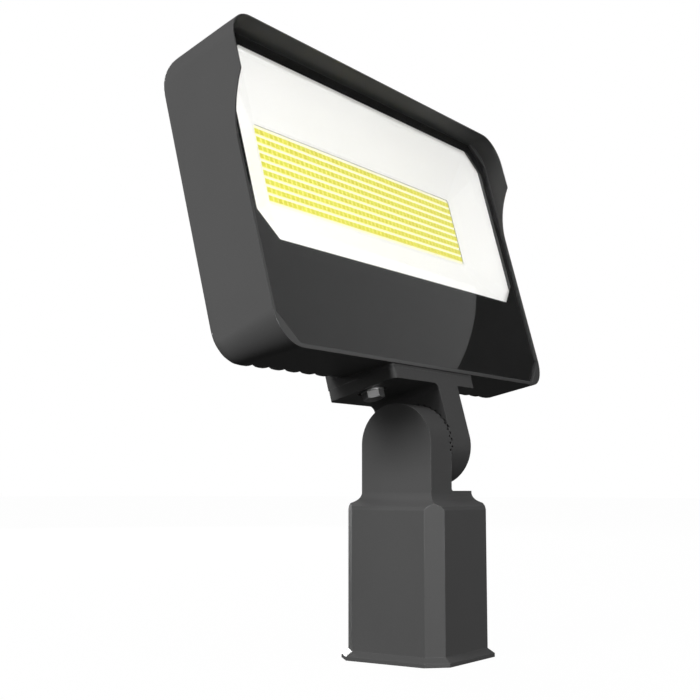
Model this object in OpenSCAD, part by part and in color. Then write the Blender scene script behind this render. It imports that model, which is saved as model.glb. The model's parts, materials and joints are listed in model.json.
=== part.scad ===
// Slipfitter LED flood light.
// The origin is the centre of the tenon bore's mouth, +Z is up and the light faces -Y.
// Head parts are drawn in the head's own frame: its origin is the tilt pivot, X runs across,
// Y runs from the glass to the fins and Z runs up the face. in_head() sets them in place.

/* [Slipfitter] */
// Width across the flats of the square body
fitter_w = 76; // [74:1:86]
// Bore for the pole tenon
bore_d = 62; // [54:0.5:64]
// Depth of the bore
bore_depth = 88; // [70:1:90]
// Leg of the chamfer on the body's upright corners
fitter_corner = 9.7; // [4:0.1:11]
// Height of the straight body
body_h = 99.1; // [96:0.1:110]
// How far the foot rim stands out
rim_out = 4.4; // [2:0.2:6]
// Height of the foot rim's upright band
rim_h = 2.6; // [1:0.2:5]
// Height of the flare above the foot rim
flare_h = 3.2; // [1:0.2:6]
// Radius of the cove under the shoulder
cove_r = 7; // [4:0.5:7]
// Set screw thread
set_screw_d = 10; // [6:1:10]
// Set screw length under its head
set_screw_len = 14; // [12:1:20]
// Height of the lower set screws
set_low = 24; // [18:1:34]
// Height of the upper set screws
set_high = 66; // [50:1:72]

/* [Knuckle] */
// Half width and end radius of both knuckle arms
knuckle_r = 27.5; // [24:0.5:29]
// Thickness of each knuckle arm
arm_t = 27.2; // [22:0.2:29]
// Gap between the shoulder and the bracket's round end
lobe_gap = 3.6; // [2:0.1:10]
// Serration teeth round the knuckle
teeth = 36; // [24:12:36]
// Depth of the serration's grooves
groove_depth = 2.2; // [0.5:0.1:3]
// Width of the serration's grooves
groove_w = 2; // [1:0.1:2.2]
// Tilt of the head from upright, face up
tilt = 15; // [0:1:30]
// Pivot bolt thread
pivot_d = 12; // [8:1:14]
// Bracket plate length
plate_len = 108; // [104:1:120]
// Bracket plate thickness
plate_t = 8; // [5:0.5:10]
// Pivot to the underside of the bracket plate
plate_drop = 36.5; // [34:0.5:42]
// Distance of each bracket bolt from the middle
bracket_bolt_x = 41; // [38:0.5:43]
// Bracket bolt thread
bracket_bolt_d = 8; // [5:1:8]

/* [Housing] */
// Width of the head at its rim
head_w = 346.6; // [342:0.2:360]
// Height of the head
head_h = 215.8; // [212:0.2:226]
// Pivot to the rim's front face
rim_v = 28.6; // [28:0.2:30]
// Pivot to the fin tips
rear_v = 22.8; // [21:0.2:28]
// How far the visor stands out past the rim
visor_d = 13.9; // [8:0.2:20]
// Height on the face where the visor's wings start
wing_start = 129; // [110:1:140]
// Height on the face of the wings' front tips
wing_tip = 172; // [160:1:180]
// Draft of the sides
draft = 4; // [1:0.5:5]
// Corner radius at the rim
corner_front = 22.4; // [20:0.2:24]
// Radius of the upper corners at the fins
corner_rear = 24; // [20:1:34]
// Radius of the lower corners at the fins
corner_low = 14; // [12:1:28]
// Radius of the lower rear edge
edge_r = 9; // [5:0.5:10]
// Depth of the bracket pad under the housing
pad_drop = 1.9; // [1:0.1:3]
// Spacing of the fins
fin_pitch = 16; // [13:0.1:19]
// Thickness of a fin
fin_t = 4; // [2:0.1:5]
// Depth of the fins behind the driver
fin_low = 11.8; // [9:0.2:12.8]
// Depth of the fins behind the lamp board
fin_high = 19.6; // [15:0.2:20.4]

/* [Glass] */
// Rim width beside the glass
rim_t = 2.5; // [2:0.1:3]
// Recess of the glass behind the rim's face
glass_recess = 1.1; // [0.5:0.1:2]
// Glass thickness
glass_t = 3.2; // [3:0.1:4]
// Leg of the glass corners' chamfer
glass_corner = 18; // [15:0.5:20]
// Printed border at the sides
border_side = 5.5; // [5.5:0.1:8]
// Printed border at the top
border_top = 8.1; // [7:0.1:10]
// Printed border over the driver
border_bottom = 67.4; // [64:0.2:72]
// Seal thickness
seal_t = 1; // [0.6:0.1:1.4]
// Seal width
seal_w = 4.6; // [3:0.1:4.8]

/* [Lamp] */
// Lamp opening width
lamp_w = 250.6; // [250:0.2:262]
// Lamp opening height
lamp_h = 57; // [53:0.5:63]
// Margin of the board round the lamp opening
board_margin = 15.5; // [14:0.5:17]
// Board thickness
board_t = 1.6; // [1:0.1:2]
// Thermal pad thickness
pad_t = 0.5; // [0.3:0.1:1]
// Reflector sheet thickness
tray_t = 1.5; // [1:0.1:2]
// Rows of chips
chip_rows = 9; // [6:1:9]
// Chips in a row
chip_cols = 50; // [30:1:50]
// Spacing of the rows
row_pitch = 6; // [5:0.1:6.4]
// Spacing of the chips along a row
chip_pitch = 5; // [4.5:0.1:5]
// Chip size along the row
chip_w = 4.3; // [2.8:0.1:4.4]
// Chip size across the row
chip_h = 3.8; // [2.8:0.1:4.2]
// Chip height above the board
chip_t = 0.7; // [0.5:0.1:0.9]

/* [Driver] */
// Driver length
driver_len = 180; // [140:1:184]
// Driver width
driver_w = 37; // [30:0.5:37.5]
// Driver height
driver_t = 22; // [18:0.5:23]
// Supply cord hole in the gland's seal
cord_d = 8.6; // [6:0.2:10]
// Gland thread
gland_d = 20; // [18:0.5:22]

/* [Hidden] */
$fn = 64;
// Overshoot of a cut past the face it opens
over = 1;
// Gap between faces that move on each other
play = 0.3;
// Gap round a seated or threaded shank
slack = 0.15;
// Gap round the pivot bolt where the bracket turns
pivot_play = 0.08;

// Slipfitter
half = fitter_w / 2;
cap_in = 1.4;
cap_rise = 2.3;
slope = 30;
shoulder_lip = 0.9;
// Height of the point where a cove of radius cove_r leaves the arm's upright face
function cove_top(arm) =
    body_h + cap_rise + (half - cap_in - arm - cove_r) * tan(slope) + cove_r / cos(slope);
shoulder_h = max(cove_top(knuckle_r), cove_top(arm_t)) + shoulder_lip;
pivot_h = shoulder_h + lobe_gap + knuckle_r;
base_fillet = 2;
foot_h = rim_h + flare_h;

// Hex sizes in proportion to the thread
function hex_r(flats) = flats / 2 / cos(30);
set_flats = 1.6 * set_screw_d;
set_head_h = 0.64 * set_screw_d;
set_tip = bore_d / 2 + 0.3;

// Knuckle
tooth_ring_in = 0.55 * knuckle_r;
pivot_flats = 1.5 * pivot_d;
pivot_head_h = 0.62 * pivot_d;
flat_washer_t = 2.5;
spring_washer_t = 3;
pivot_thread = arm_t - 5;
flat_washer_x = arm_t + play;
spring_washer_x = flat_washer_x + flat_washer_t;
pivot_head_x = spring_washer_x + spring_washer_t;
plate_corner = 4;
bracket_fillet = 4.5;
plate_top = plate_drop + plate_t;
spot_depth = 1;
bolt_washer_t = 1.6;
bolt_washer_r = bracket_bolt_d;
spot_r = bolt_washer_r + 2;
bolt_seat = plate_drop + spot_depth - bolt_washer_t;
bolt_flats = 1.625 * bracket_bolt_d;
bolt_head_h = 0.66 * bracket_bolt_d;
bolt_len = 25;

// Housing, in the head's frame
head_bottom = plate_top + pad_drop;
head_top = head_bottom + head_h;
head_half = head_w / 2;
lean = tan(draft);
corner_steps = 10;
glass_front = glass_recess - rim_v;
glass_rear = glass_front + glass_t;
print_t = 0.25;
print_rear = glass_rear + print_t;
seat_v = print_rear + seal_t;
pocket_half = head_half - rim_t;
pocket_bottom = head_bottom + rim_t + 0.3;
pocket_top = head_top - 1.9;
glass_gap = 0.5;
glass_half = pocket_half - glass_gap;
glass_bottom = pocket_bottom + glass_gap;
glass_top = pocket_top - glass_gap;
seat_w = 6.3;
ledge_w = 3.5;
bay_corner = glass_corner - 2;
well_corner = glass_corner - 3;
ledge_v = seat_v + 3;
bay_half = pocket_half - seat_w;
bay_bottom = pocket_bottom + seat_w - 1;
bay_top = pocket_top - seat_w;
well_half = bay_half - ledge_w;
well_top = bay_top - ledge_w;
floor_t = 6;
floor_v = rear_v - fin_low - floor_t;
board_face = -6;
lamp_floor = board_face + board_t + pad_t;
step_w = pocket_bottom + border_bottom + 1;
visor_root = 1;
visor_lip = 0.9;
wing_low = head_bottom + wing_start;
wing_high = head_bottom + wing_tip;
wing_r = (pow(wing_high - wing_low, 2) + pow(visor_d, 2)) / (2 * visor_d);
pad_half = plate_len / 2;
pad_rise = 18;
boss_r = bracket_bolt_d / 2 + 5;
boss_top = bolt_seat + bolt_len + 3.2;
side_round = 0.5;
top_round = 6;
fin_side = lean * (rim_v + rear_v) + side_round + 2.4;
gap_w = fin_pitch - fin_t;
last_gap = floor((head_half - fin_side - gap_w / 2) / fin_pitch);

// Window in the glass's print
window_half = glass_half - border_side;
window_bottom = glass_bottom + border_bottom;
window_top = glass_top - border_top;
window_corner = 17;

// Reflector tray
tray_front = ledge_v - tray_t;
tray_rear = board_face - play;
mouth_half = window_half - 4.3;
mouth_bottom = window_bottom + 0.4;
mouth_top = window_top - 1.7;
mouth_corner = 15;
flange_half = bay_half - play;
flange_top = bay_top - play;
flange_bottom = mouth_bottom - 16.5;
lamp_half = lamp_w / 2;
lamp_mid = (window_bottom + window_top) / 2 - 2.9;
lamp_bottom = lamp_mid - lamp_h / 2;
lamp_top = lamp_mid + lamp_h / 2;
lamp_corner = 1.5;
tray_screw_w = flange_bottom + 6;
tray_screw_len = 8;
tray_post_r = 3.5;
tray_screw_x = bay_half - 24.5;

// Small screws: radius of the shank, radius and height of the head
m3 = [1.5, 2.75, 2];
m5 = [2.5, 4.5, 3.2];
board_half = lamp_half + board_margin;
board_low = lamp_bottom - board_margin;
board_high = lamp_top + board_margin;
board_screw_in = 4;
board_screw_len = 7;

// Driver bay
driver_low = boss_top + 1;
driver_side = 19;
driver_x = well_half - driver_side - driver_len;
driver_ear = 10;
driver_ear_t = 2;
driver_ear_half = 8;
driver_screw_len = 6.5;
gland_side = 47;
gland_x = driver_x - gland_side;
gland_w = head_bottom + 47.6;
gland_boss_r = 18;
gland_flats = 1.25 * gland_d;
gland_flange_t = 6.4;
gland_nut_len = 14;
gland_bore = 0.75 * gland_d / 2;
locknut_t = 4.5;
seal_ring_t = 8;
bay_gap = 3;
surge_size = [24, 18, 18];
surge_x = bay_gap - well_half;
surge_w = bay_bottom + well_corner - bay_gap + 1;
block_size = [36, 17, 18];
block_x = surge_x + surge_size[0] + bay_gap;
block_w = bay_bottom + bay_gap / 2;
vent_r = 7;
vent_x = well_half - 12;
vent_w = gland_w + 6;
ground_x = -pad_half - 6;
ground_w = bay_bottom + 5.5;
ground_screw_len = 4.5;
lead_r = 1.1;
lead_bend = 4;
lead_step = 2.6;
connector_size = [10, 2.4, 5];
connector_x = 0.75 * (board_half - board_screw_in);
connector_w = board_low + 0.8;
pin_x = 2.5;
lead_v = board_face - lead_r - slack;

// A point on a circle
function around(x, y, r, a) = [x + r * cos(a), y + r * sin(a)];

// Outline of a rectangle, half wide, from low to high, counter-clockwise, with its upper corners
// rounded by r and its lower ones by r_low
function rounded(half, low, high, r, r_low) = [
    for (corner = [[-half + r_low, low + r_low, 180, r_low], [half - r_low, low + r_low, 270, r_low],
            [half - r, high - r, 0, r], [-half + r, high - r, 90, r]])
        for (k = [0 : corner_steps])
            around(corner[0], corner[1], corner[3], corner[2] + 90 * k / corner_steps)];

// Outline of a rectangle with chamfered corners, counter-clockwise
function chamfered(half, low, high, c) = [
    [-half + c, low], [half - c, low], [half, low + c], [half, high - c],
    [half - c, high], [-half + c, high], [-half, high - c], [-half, low + c]];

// Solid through rings of [depth, outline], listed from front to rear
module loft(rings) {
    n = len(rings[0][1]);
    last = len(rings) - 1;
    polyhedron(
        points = [for (ring = rings) for (p = ring[1]) [p[0], ring[0], p[1]]],
        faces = concat(
            [[for (i = [n - 1 : -1 : 0]) i]],
            [for (k = [0 : last - 1]) for (i = [0 : n - 1])
                [k * n + i, k * n + (i + 1) % n, (k + 1) * n + (i + 1) % n]],
            [for (k = [0 : last - 1]) for (i = [0 : n - 1])
                [k * n + i, (k + 1) * n + (i + 1) % n, (k + 1) * n + i]],
            [[for (i = [0 : n - 1]) last * n + i]]));
}

// Outline in the face plane, carried from depth v0 to v1
module slab(outline, v0, v1) {
    translate([0, v1, 0])
        rotate([90, 0, 0])
            linear_extrude(v1 - v0)
                polygon(outline);
}

// Outline in the side plane, carried from x0 to x1
module along_x(outline, x0, x1) {
    translate([x0, 0, 0])
        rotate([90, 0, 90])
            linear_extrude(x1 - x0)
                polygon(outline);
}

// Cylinder along +X from a point
module rod_x(p, r, len) {
    translate(p)
        rotate([0, 90, 0])
            cylinder(r = r, h = len);
}

// Cylinder along +Y from a point
module rod_y(p, r, len) {
    translate(p)
        rotate([-90, 0, 0])
            cylinder(r = r, h = len);
}

// Box from one corner to the opposite one
module box(a, b) {
    translate(a)
        cube(b - a);
}

// Hexagonal prism along +Z
module hex(flats, h) {
    cylinder(r = hex_r(flats), h = h, $fn = 6);
}

// Hex screw along +Z: the head lies below the origin and the shank above it
module hex_screw(d, flats, head_h, len) {
    tip = d / 10;
    translate([0, 0, -head_h])
        hex(flats, head_h);
    cylinder(d = d, h = len - tip);
    translate([0, 0, len - tip])
        cylinder(r1 = d / 2, r2 = d / 2 - tip, h = tip);
}

// Pan head screw driven towards +Y, its head seated at the origin, with a cross recess
module pan_screw(kind, len) {
    difference() {
        union() {
            rod_y([0, -kind[2], 0], kind[1], kind[2]);
            rod_y([0, -over / 2, 0], kind[0], len + over / 2);
        }
        for (a = [0, 90])
            rotate([0, a, 0])
                box([-kind[1] * 0.6, -kind[2] - over, -0.35], [kind[1] * 0.6, -kind[2] * 0.45, 0.35]);
    }
}

// Flat ring along +Z
module washer(outer, inner, t) {
    difference() {
        cylinder(r = outer, h = t);
        translate([0, 0, -over])
            cylinder(r = inner, h = t + 2 * over);
    }
}

// Sets a part of the head in its place
module in_head() {
    translate([0, 0, pivot_h])
        rotate([-tilt, 0, 0])
            children();
}

// Slipfitter casting: square body, cove, shoulder and lower knuckle arm

// Half outline of the casting's face above the foot, at a given arm half width
function face_line(arm) = concat(
    [[half, foot_h], [half, body_h], [half - cap_in, body_h + cap_rise]],
    [for (k = [0 : 8])
        around(arm + cove_r, cove_top(arm), cove_r, 270 - slope - (90 - slope) * k / 8)],
    [[arm, shoulder_h]]);

// Whole outline from a half outline
function both_sides(line) =
    concat(line, [for (i = [len(line) - 1 : -1 : 0]) [-line[i][0], line[i][1]]]);

// Outline carried straight through the casting, turned about Z
module through(line, turn) {
    reach = fitter_w;
    rotate([0, 0, turn])
        along_x(both_sides(line), -reach, reach);
}

// Square with chamfered corners, out beyond the body on all eight sides
function square_line(out) =
    chamfered(half + out, -half - out, half + out, fitter_corner + out * (2 - sqrt(2)));

module serration() {
    a = groove_w / 2;
    b = groove_w / 4;
    d = groove_depth;
    for (k = [0 : teeth - 1])
        rotate([360 * (k + 0.75) / teeth, 0, 0])
            translate([0, 0, tooth_ring_in])
                linear_extrude(knuckle_r - tooth_ring_in + 0.6)
                    polygon([[-d, -b], [0, -a], [d, -b], [d, b], [0, a], [-d, b]]);
}

module arm_half() {
    rod_x([-arm_t, 0, pivot_h], knuckle_r, arm_t - play / 2);
    box([-arm_t, -knuckle_r, shoulder_h - over], [-play / 2, knuckle_r, pivot_h]);
}

module slipfitter() {
    color([0.25, 0.25, 0.26])
    difference() {
        union() {
            linear_extrude(rim_h)
                polygon(square_line(rim_out));
            rotate([90, 0, 0])
                loft([[rim_h, square_line(rim_out)], [foot_h, square_line(0)]]);
            intersection() {
                through(face_line(knuckle_r), 0);
                through(face_line(arm_t), 90);
                linear_extrude(shoulder_h + over)
                    polygon(square_line(0));
            }
            arm_half();
            difference() {
                box([-play, -knuckle_r, shoulder_h - over],
                    [base_fillet - play / 2, knuckle_r, shoulder_h + base_fillet]);
                translate([base_fillet - play / 2, 0, shoulder_h + base_fillet])
                    rotate([90, 0, 0])
                        cylinder(r = base_fillet, h = 2 * knuckle_r + 2 * over, center = true);
            }
        }
        translate([0, 0, -over])
            cylinder(d = bore_d, h = bore_depth + over);
        for (turn = [0, 90])
            for (z = [set_low, set_high])
                rotate([0, 0, turn])
                    rod_x([0, 0, z], set_screw_d / 2 + slack, fitter_w);
        rod_x([-pivot_thread, 0, pivot_h], pivot_d / 2 + slack, pivot_thread + over);
        translate([-play / 2, 0, pivot_h])
            serration();
    }
}

module set_screws() {
    color([0.62, 0.63, 0.65])
    for (turn = [90, 180])
        for (z = [set_low, set_high])
            rotate([0, 0, turn])
                translate([0, -set_tip - set_screw_len, z])
                    rotate([-90, 0, 0])
                        hex_screw(set_screw_d, set_flats, set_head_h, set_screw_len);
}

// Pivot bolt and its washers

module pivot_bolt() {
    color([0.62, 0.63, 0.65])
    translate([pivot_head_x, 0, pivot_h])
        rotate([0, -90, 0])
            hex_screw(pivot_d, pivot_flats, pivot_head_h, pivot_head_x + pivot_thread - 1);
}

module pivot_spring_washer() {
    slit = 2.5;
    color([0.45, 0.46, 0.48])
    translate([spring_washer_x, 0, pivot_h])
        rotate([0, 90, 0])
            difference() {
                washer(pivot_d * 0.88, pivot_d / 2 + 0.3, spring_washer_t);
                translate([0, 0, spring_washer_t / 2])
                    rotate([25, 0, 0])
                        translate([0, -slit / 2, -pivot_d])
                            cube([pivot_d, slit, 2 * pivot_d]);
            }
}

module pivot_flat_washer() {
    color([0.62, 0.63, 0.65])
    translate([flat_washer_x, 0, pivot_h])
        rotate([0, 90, 0])
            washer(pivot_d, pivot_d / 2 + 0.25, flat_washer_t);
}

// Upper knuckle bracket: round lobe and bolted plate

module plate_block(low, high, r) {
    a = plate_len / 2 - r;
    b = knuckle_r - r;
    box([-a, -knuckle_r, low], [a, knuckle_r, high]);
    box([-plate_len / 2, -b, low], [plate_len / 2, b, high]);
    for (x = [-a, a])
        for (y = [-b, b])
            translate([x, y, low])
                cylinder(r = r, h = high - low);
}

module at_bracket_bolts(height) {
    for (side = [-1, 1])
        translate([side * bracket_bolt_x, 0, height])
            children();
}

module knuckle_bracket() {
    color([0.25, 0.25, 0.26])
    in_head()
    difference() {
        union() {
            rod_x([play / 2, 0, 0], knuckle_r, arm_t - play / 2);
            box([play / 2, -knuckle_r, 0], [arm_t, knuckle_r, plate_drop + over]);
            plate_block(plate_drop, plate_top, plate_corner);
            difference() {
                box([play / 2 - bracket_fillet, -knuckle_r, plate_drop - bracket_fillet],
                    [play, knuckle_r, plate_drop + over]);
                translate([play / 2 - bracket_fillet, 0, plate_drop - bracket_fillet])
                    rotate([90, 0, 0])
                        cylinder(r = bracket_fillet, h = 2 * knuckle_r + 2 * over, center = true);
            }
        }
        rod_x([-over, 0, 0], pivot_d / 2 + pivot_play, arm_t + 2 * over);
        translate([play / 2, 0, 0])
            serration();
        at_bracket_bolts(plate_drop - over) {
            cylinder(r = spot_r, h = spot_depth + over);
            cylinder(r = bracket_bolt_d / 2 + 0.5, h = plate_t + 2 * over);
        }
    }
}

module bracket_bolts() {
    color([0.66, 0.67, 0.69])
    in_head()
    at_bracket_bolts(bolt_seat)
        hex_screw(bracket_bolt_d, bolt_flats, bolt_head_h, bolt_len);
}

module bracket_washers() {
    color([0.62, 0.63, 0.65])
    in_head()
    at_bracket_bolts(bolt_seat)
        washer(bolt_washer_r, bracket_bolt_d / 2 + 0.2, bolt_washer_t);
}

// Housing casting: drafted shell, visor, fins, glass seat, bosses and bracket pad

// Outline of the casting at depth v, drawn in by the rounding of its rear edges
function shell_ring(v, side, bottom, top) = let (
        shift = lean * (v + rim_v),
        share = max(0, v + rim_v) / (rear_v + rim_v))
    [v, rounded(head_half - shift - side, head_bottom + shift + bottom, head_top - top,
        corner_front + (corner_rear - corner_front) * share,
        corner_front + (corner_low - corner_front) * share)];

module shell() {
    loft(concat(
        [shell_ring(-rim_v - visor_d, 0, 0, 0), shell_ring(-rim_v, 0, 0, 0)],
        [for (k = [0 : 5]) let (a = 90 * k / 5)
            shell_ring(rear_v - edge_r + edge_r * sin(a), side_round * (1 - cos(a)),
                edge_r * (1 - cos(a)), top_round * (1 - cos(a)))]));
}

// Inside of the visor, opening slightly towards its lip
module visor_hollow() {
    root_half = pocket_half + visor_root;
    front = rim_v + visor_d + over;
    front_half = head_half + lean * front - lean * rim_v - visor_lip;
    r = corner_front - rim_t + visor_root;
    loft([
        [-front, rounded(front_half, 0, head_top - visor_lip, r, r)],
        [-rim_v - 3.5, rounded(root_half + 0.3, 0, pocket_top, r, r)],
        [-rim_v, rounded(root_half, 0, pocket_top, r, r)]]);
}

// What is cut from the visor below its wings
module wing_cut() {
    x = head_half + 20;
    front = rim_v + visor_d + over;
    box([-x, -front, -over], [x, -rim_v, wing_low + over / 10]);
    intersection() {
        rod_x([-x, -rim_v - wing_r, wing_low], wing_r, 2 * x);
        box([-x, -front, wing_low], [x, -rim_v + over, wing_high]);
    }
}

// Gaps between the fins. The outermost ones stop short of the casting's rounded corners.
module fin_gaps() {
    pad_top = head_bottom + pad_rise;
    root_low = rear_v - fin_low;
    root_high = rear_v - fin_high;
    bend = step_w + 2;
    for (k = [-last_gap : last_gap]) {
        x = k * fin_pitch;
        outermost = abs(k) == last_gap;
        open = abs(x) < pad_half + fin_pitch / 2 ? pad_top : head_bottom - over;
        low = outermost ? head_bottom + corner_low + edge_r + 4 : open;
        high = outermost ? head_top - corner_rear - top_round : head_top + over;
        along_x([[rear_v + over, low], [root_low, low], [root_low, bend],
            [root_high, bend + (root_low - root_high)], [root_high, high], [rear_v + over, high]],
            x - gap_w / 2, x + gap_w / 2);
    }
}

// Pockets for the glass, its seal, the reflector, the driver and the lamp board
module pockets() {
    slab(chamfered(pocket_half, pocket_bottom, pocket_top, glass_corner), -rim_v - over, seat_v);
    slab(chamfered(bay_half, bay_bottom, bay_top, bay_corner), seat_v - over, ledge_v);
    slab(chamfered(well_half, bay_bottom, well_top, well_corner), ledge_v - over, lamp_floor);
    slab(chamfered(well_half, bay_bottom, step_w, 6), lamp_floor - over, floor_v);
}

module at_board_screws() {
    for (w = [board_low + board_screw_in, board_high - board_screw_in])
        for (share = [-1, -0.5, 0, 0.5, 1])
            translate([share * (board_half - board_screw_in), board_face, w])
                children();
    for (side = [-1, 1])
        translate([side * (board_half - board_screw_in), board_face, lamp_mid])
            children();
}

module at_tray_screws() {
    for (share = [-1, 0, 1])
        translate([share * tray_screw_x, tray_front, tray_screw_w])
            children();
}

module at_driver_ears() {
    for (x = [driver_x - driver_ear / 2, driver_x + driver_len + driver_ear / 2])
        translate([x, floor_v - driver_ear_t, driver_low + driver_w / 2])
            children();
}

module housing() {
    screw_hole = m3[0] + slack;
    color([0.25, 0.25, 0.26])
    in_head()
    difference() {
        union() {
            difference() {
                union() {
                    difference() {
                        shell();
                        visor_hollow();
                        wing_cut();
                        fin_gaps();
                    }
                    plate_block(plate_top, head_bottom + pad_rise, 3);
                    rod_y([gland_x, floor_v - over, gland_w], gland_boss_r, rear_v - floor_v + over);
                    rod_y([vent_x, floor_v - over, vent_w], vent_r + 3, rear_v - floor_v + over);
                }
                pockets();
            }
            at_bracket_bolts(bay_bottom - over)
                cylinder(r = boss_r, h = boss_top - bay_bottom + over);
            at_tray_screws()
                rod_y([0, tray_t, 0], tray_post_r, floor_v + over - ledge_v);
        }
        at_bracket_bolts(plate_top - over)
            cylinder(r = bracket_bolt_d / 2 + slack, h = bolt_seat + bolt_len + 1.2 - plate_top + over);
        at_tray_screws()
            rod_y([0, 0, 0], screw_hole, tray_screw_len + 1);
        at_board_screws()
            rod_y([0, 0, 0], screw_hole, board_screw_len + 0.4);
        at_driver_ears()
            rod_y([0, 0, 0], screw_hole, driver_screw_len + 0.5);
        rod_y([gland_x, floor_v - 2 * over, gland_w], gland_d / 2 + slack, rear_v - floor_v + 3 * over);
        rod_y([vent_x, floor_v - 2 * over, vent_w], vent_r - 1 + slack, rear_v);
        rod_y([ground_x, floor_v - over, ground_w], m5[0] + slack, ground_screw_len + 0.5 + over);
    }
}

// Glass, its printed border and its seal

module glass_lens() {
    color([0.7, 0.75, 0.76, 0.4])
    in_head()
    slab(chamfered(glass_half, glass_bottom, glass_top, glass_corner), glass_front, glass_rear);
}

module glass_border() {
    color([0.04, 0.04, 0.04])
    in_head()
    difference() {
        slab(chamfered(glass_half, glass_bottom, glass_top, glass_corner), glass_rear, print_rear);
        slab(chamfered(window_half, window_bottom, window_top, window_corner),
            glass_rear - over, print_rear + over);
    }
}

module lens_seal() {
    color([0.12, 0.12, 0.12])
    in_head()
    difference() {
        slab(chamfered(glass_half, glass_bottom, glass_top, glass_corner), print_rear, seat_v);
        slab(chamfered(glass_half - seal_w, glass_bottom + seal_w, glass_top - seal_w,
            glass_corner - seal_w / 2), print_rear - over, seat_v + over);
    }
}

// Reflector tray: sloped walls from the window down to the lamp board

// Value between a at the tray's mouth and b at its lamp opening, at depth v
function sloped(a, b, v) = a + (b - a) * (v - tray_front) / (tray_rear - tray_front);

function tray_ring(v, grow) = [v, chamfered(
    sloped(mouth_half, lamp_half, v) + grow,
    sloped(mouth_bottom, lamp_bottom, v) - grow,
    sloped(mouth_top, lamp_top, v) + grow,
    sloped(mouth_corner, lamp_corner, v))];

module reflector() {
    color([0.95, 0.95, 0.95])
    in_head()
    difference() {
        union() {
            loft([tray_ring(tray_front, tray_t), tray_ring(tray_rear, tray_t)]);
            slab(chamfered(flange_half, flange_bottom, flange_top, bay_corner), tray_front, ledge_v);
        }
        loft([tray_ring(tray_front - over, 0), tray_ring(tray_rear + over, 0)]);
        at_tray_screws()
            rod_y([0, -over, 0], m3[0] + 0.2, tray_t + 2 * over);
    }
}

module reflector_screws() {
    color([0.75, 0.75, 0.76])
    in_head()
    at_tray_screws()
        pan_screw(m3, tray_screw_len);
}

// Lamp board, chips, pad, screws and connector

module led_board() {
    color([0.93, 0.93, 0.9])
    in_head()
    difference() {
        box([-board_half, board_face, board_low], [board_half, board_face + board_t, board_high]);
        at_board_screws()
            rod_y([0, -over, 0], m3[0] + 0.2, board_t + 2 * over);
    }
}

module led_chips() {
    color([0.98, 0.95, 0.4])
    in_head()
    for (row = [0 : chip_rows - 1])
        for (col = [0 : chip_cols - 1])
            translate([(col - (chip_cols - 1) / 2) * chip_pitch, board_face,
                lamp_mid + (row - (chip_rows - 1) / 2) * row_pitch])
                box([-chip_w / 2, -chip_t, -chip_h / 2], [chip_w / 2, 0, chip_h / 2]);
}

module thermal_pad() {
    color([0.45, 0.55, 0.65])
    in_head()
    difference() {
        box([1 - board_half, board_face + board_t, board_low + 1],
            [board_half - 1, lamp_floor, board_high - 1]);
        at_board_screws()
            rod_y([0, 0, 0], m3[0] + 0.2, board_t + pad_t + over);
    }
}

module board_screws() {
    color([0.75, 0.75, 0.76])
    in_head()
    at_board_screws()
        pan_screw(m3, board_screw_len);
}

module board_connector() {
    color([0.9, 0.9, 0.88])
    in_head()
    difference() {
        box([connector_x - connector_size[0] / 2, board_face - connector_size[1], connector_w],
            [connector_x + connector_size[0] / 2, board_face, connector_w + connector_size[2]]);
        for (side = [-1, 1])
            translate([connector_x + side * pin_x, lead_v, connector_w - over])
                cylinder(r = lead_r * 0.8, h = 2 + over);
    }
}

// Driver bay

module driver() {
    low = driver_low;
    high = driver_low + driver_w;
    mid = driver_low + driver_w / 2;
    color([0.72, 0.73, 0.75])
    in_head()
    difference() {
        union() {
            box([driver_x, floor_v - driver_t, low], [driver_x + driver_len, floor_v, high]);
            box([driver_x - driver_ear, floor_v - driver_ear_t, mid - driver_ear_half],
                [driver_x + driver_len + driver_ear, floor_v, mid + driver_ear_half]);
        }
        at_driver_ears()
            rod_y([0, -over, 0], m3[0] + 0.2, driver_ear_t + 2 * over);
    }
}

module driver_screws() {
    color([0.75, 0.75, 0.76])
    in_head()
    at_driver_ears()
        pan_screw(m3, driver_screw_len);
}

module surge_protector() {
    color([0.2, 0.35, 0.6])
    in_head()
    box([surge_x, floor_v - surge_size[1], surge_w],
        [surge_x + surge_size[0], floor_v, surge_w + surge_size[2]]);
}

module terminal_block() {
    ways = 3;
    way = block_size[0] / ways;
    color([0.85, 0.85, 0.8])
    in_head()
    difference() {
        box([block_x, floor_v - block_size[1], block_w],
            [block_x + block_size[0], floor_v, block_w + block_size[2]]);
        for (k = [0 : ways - 1])
            rod_y([block_x + way * (k + 0.5), floor_v - block_size[1] - over,
                block_w + block_size[2] / 2], 2.6, 5 + over);
    }
}

module ground_screw() {
    color([0.2, 0.55, 0.25])
    in_head()
    translate([ground_x, floor_v, ground_w])
        pan_screw(m5, ground_screw_len);
}

// Quarter turn of a lamp lead round its middle
module lead_turn(x, w, start) {
    translate([x, lead_v, w])
        rotate([90, 0, 0])
            rotate([0, 0, start])
                rotate_extrude(angle = 90)
                    translate([lead_bend, 0])
                        circle(r = lead_r);
}

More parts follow.
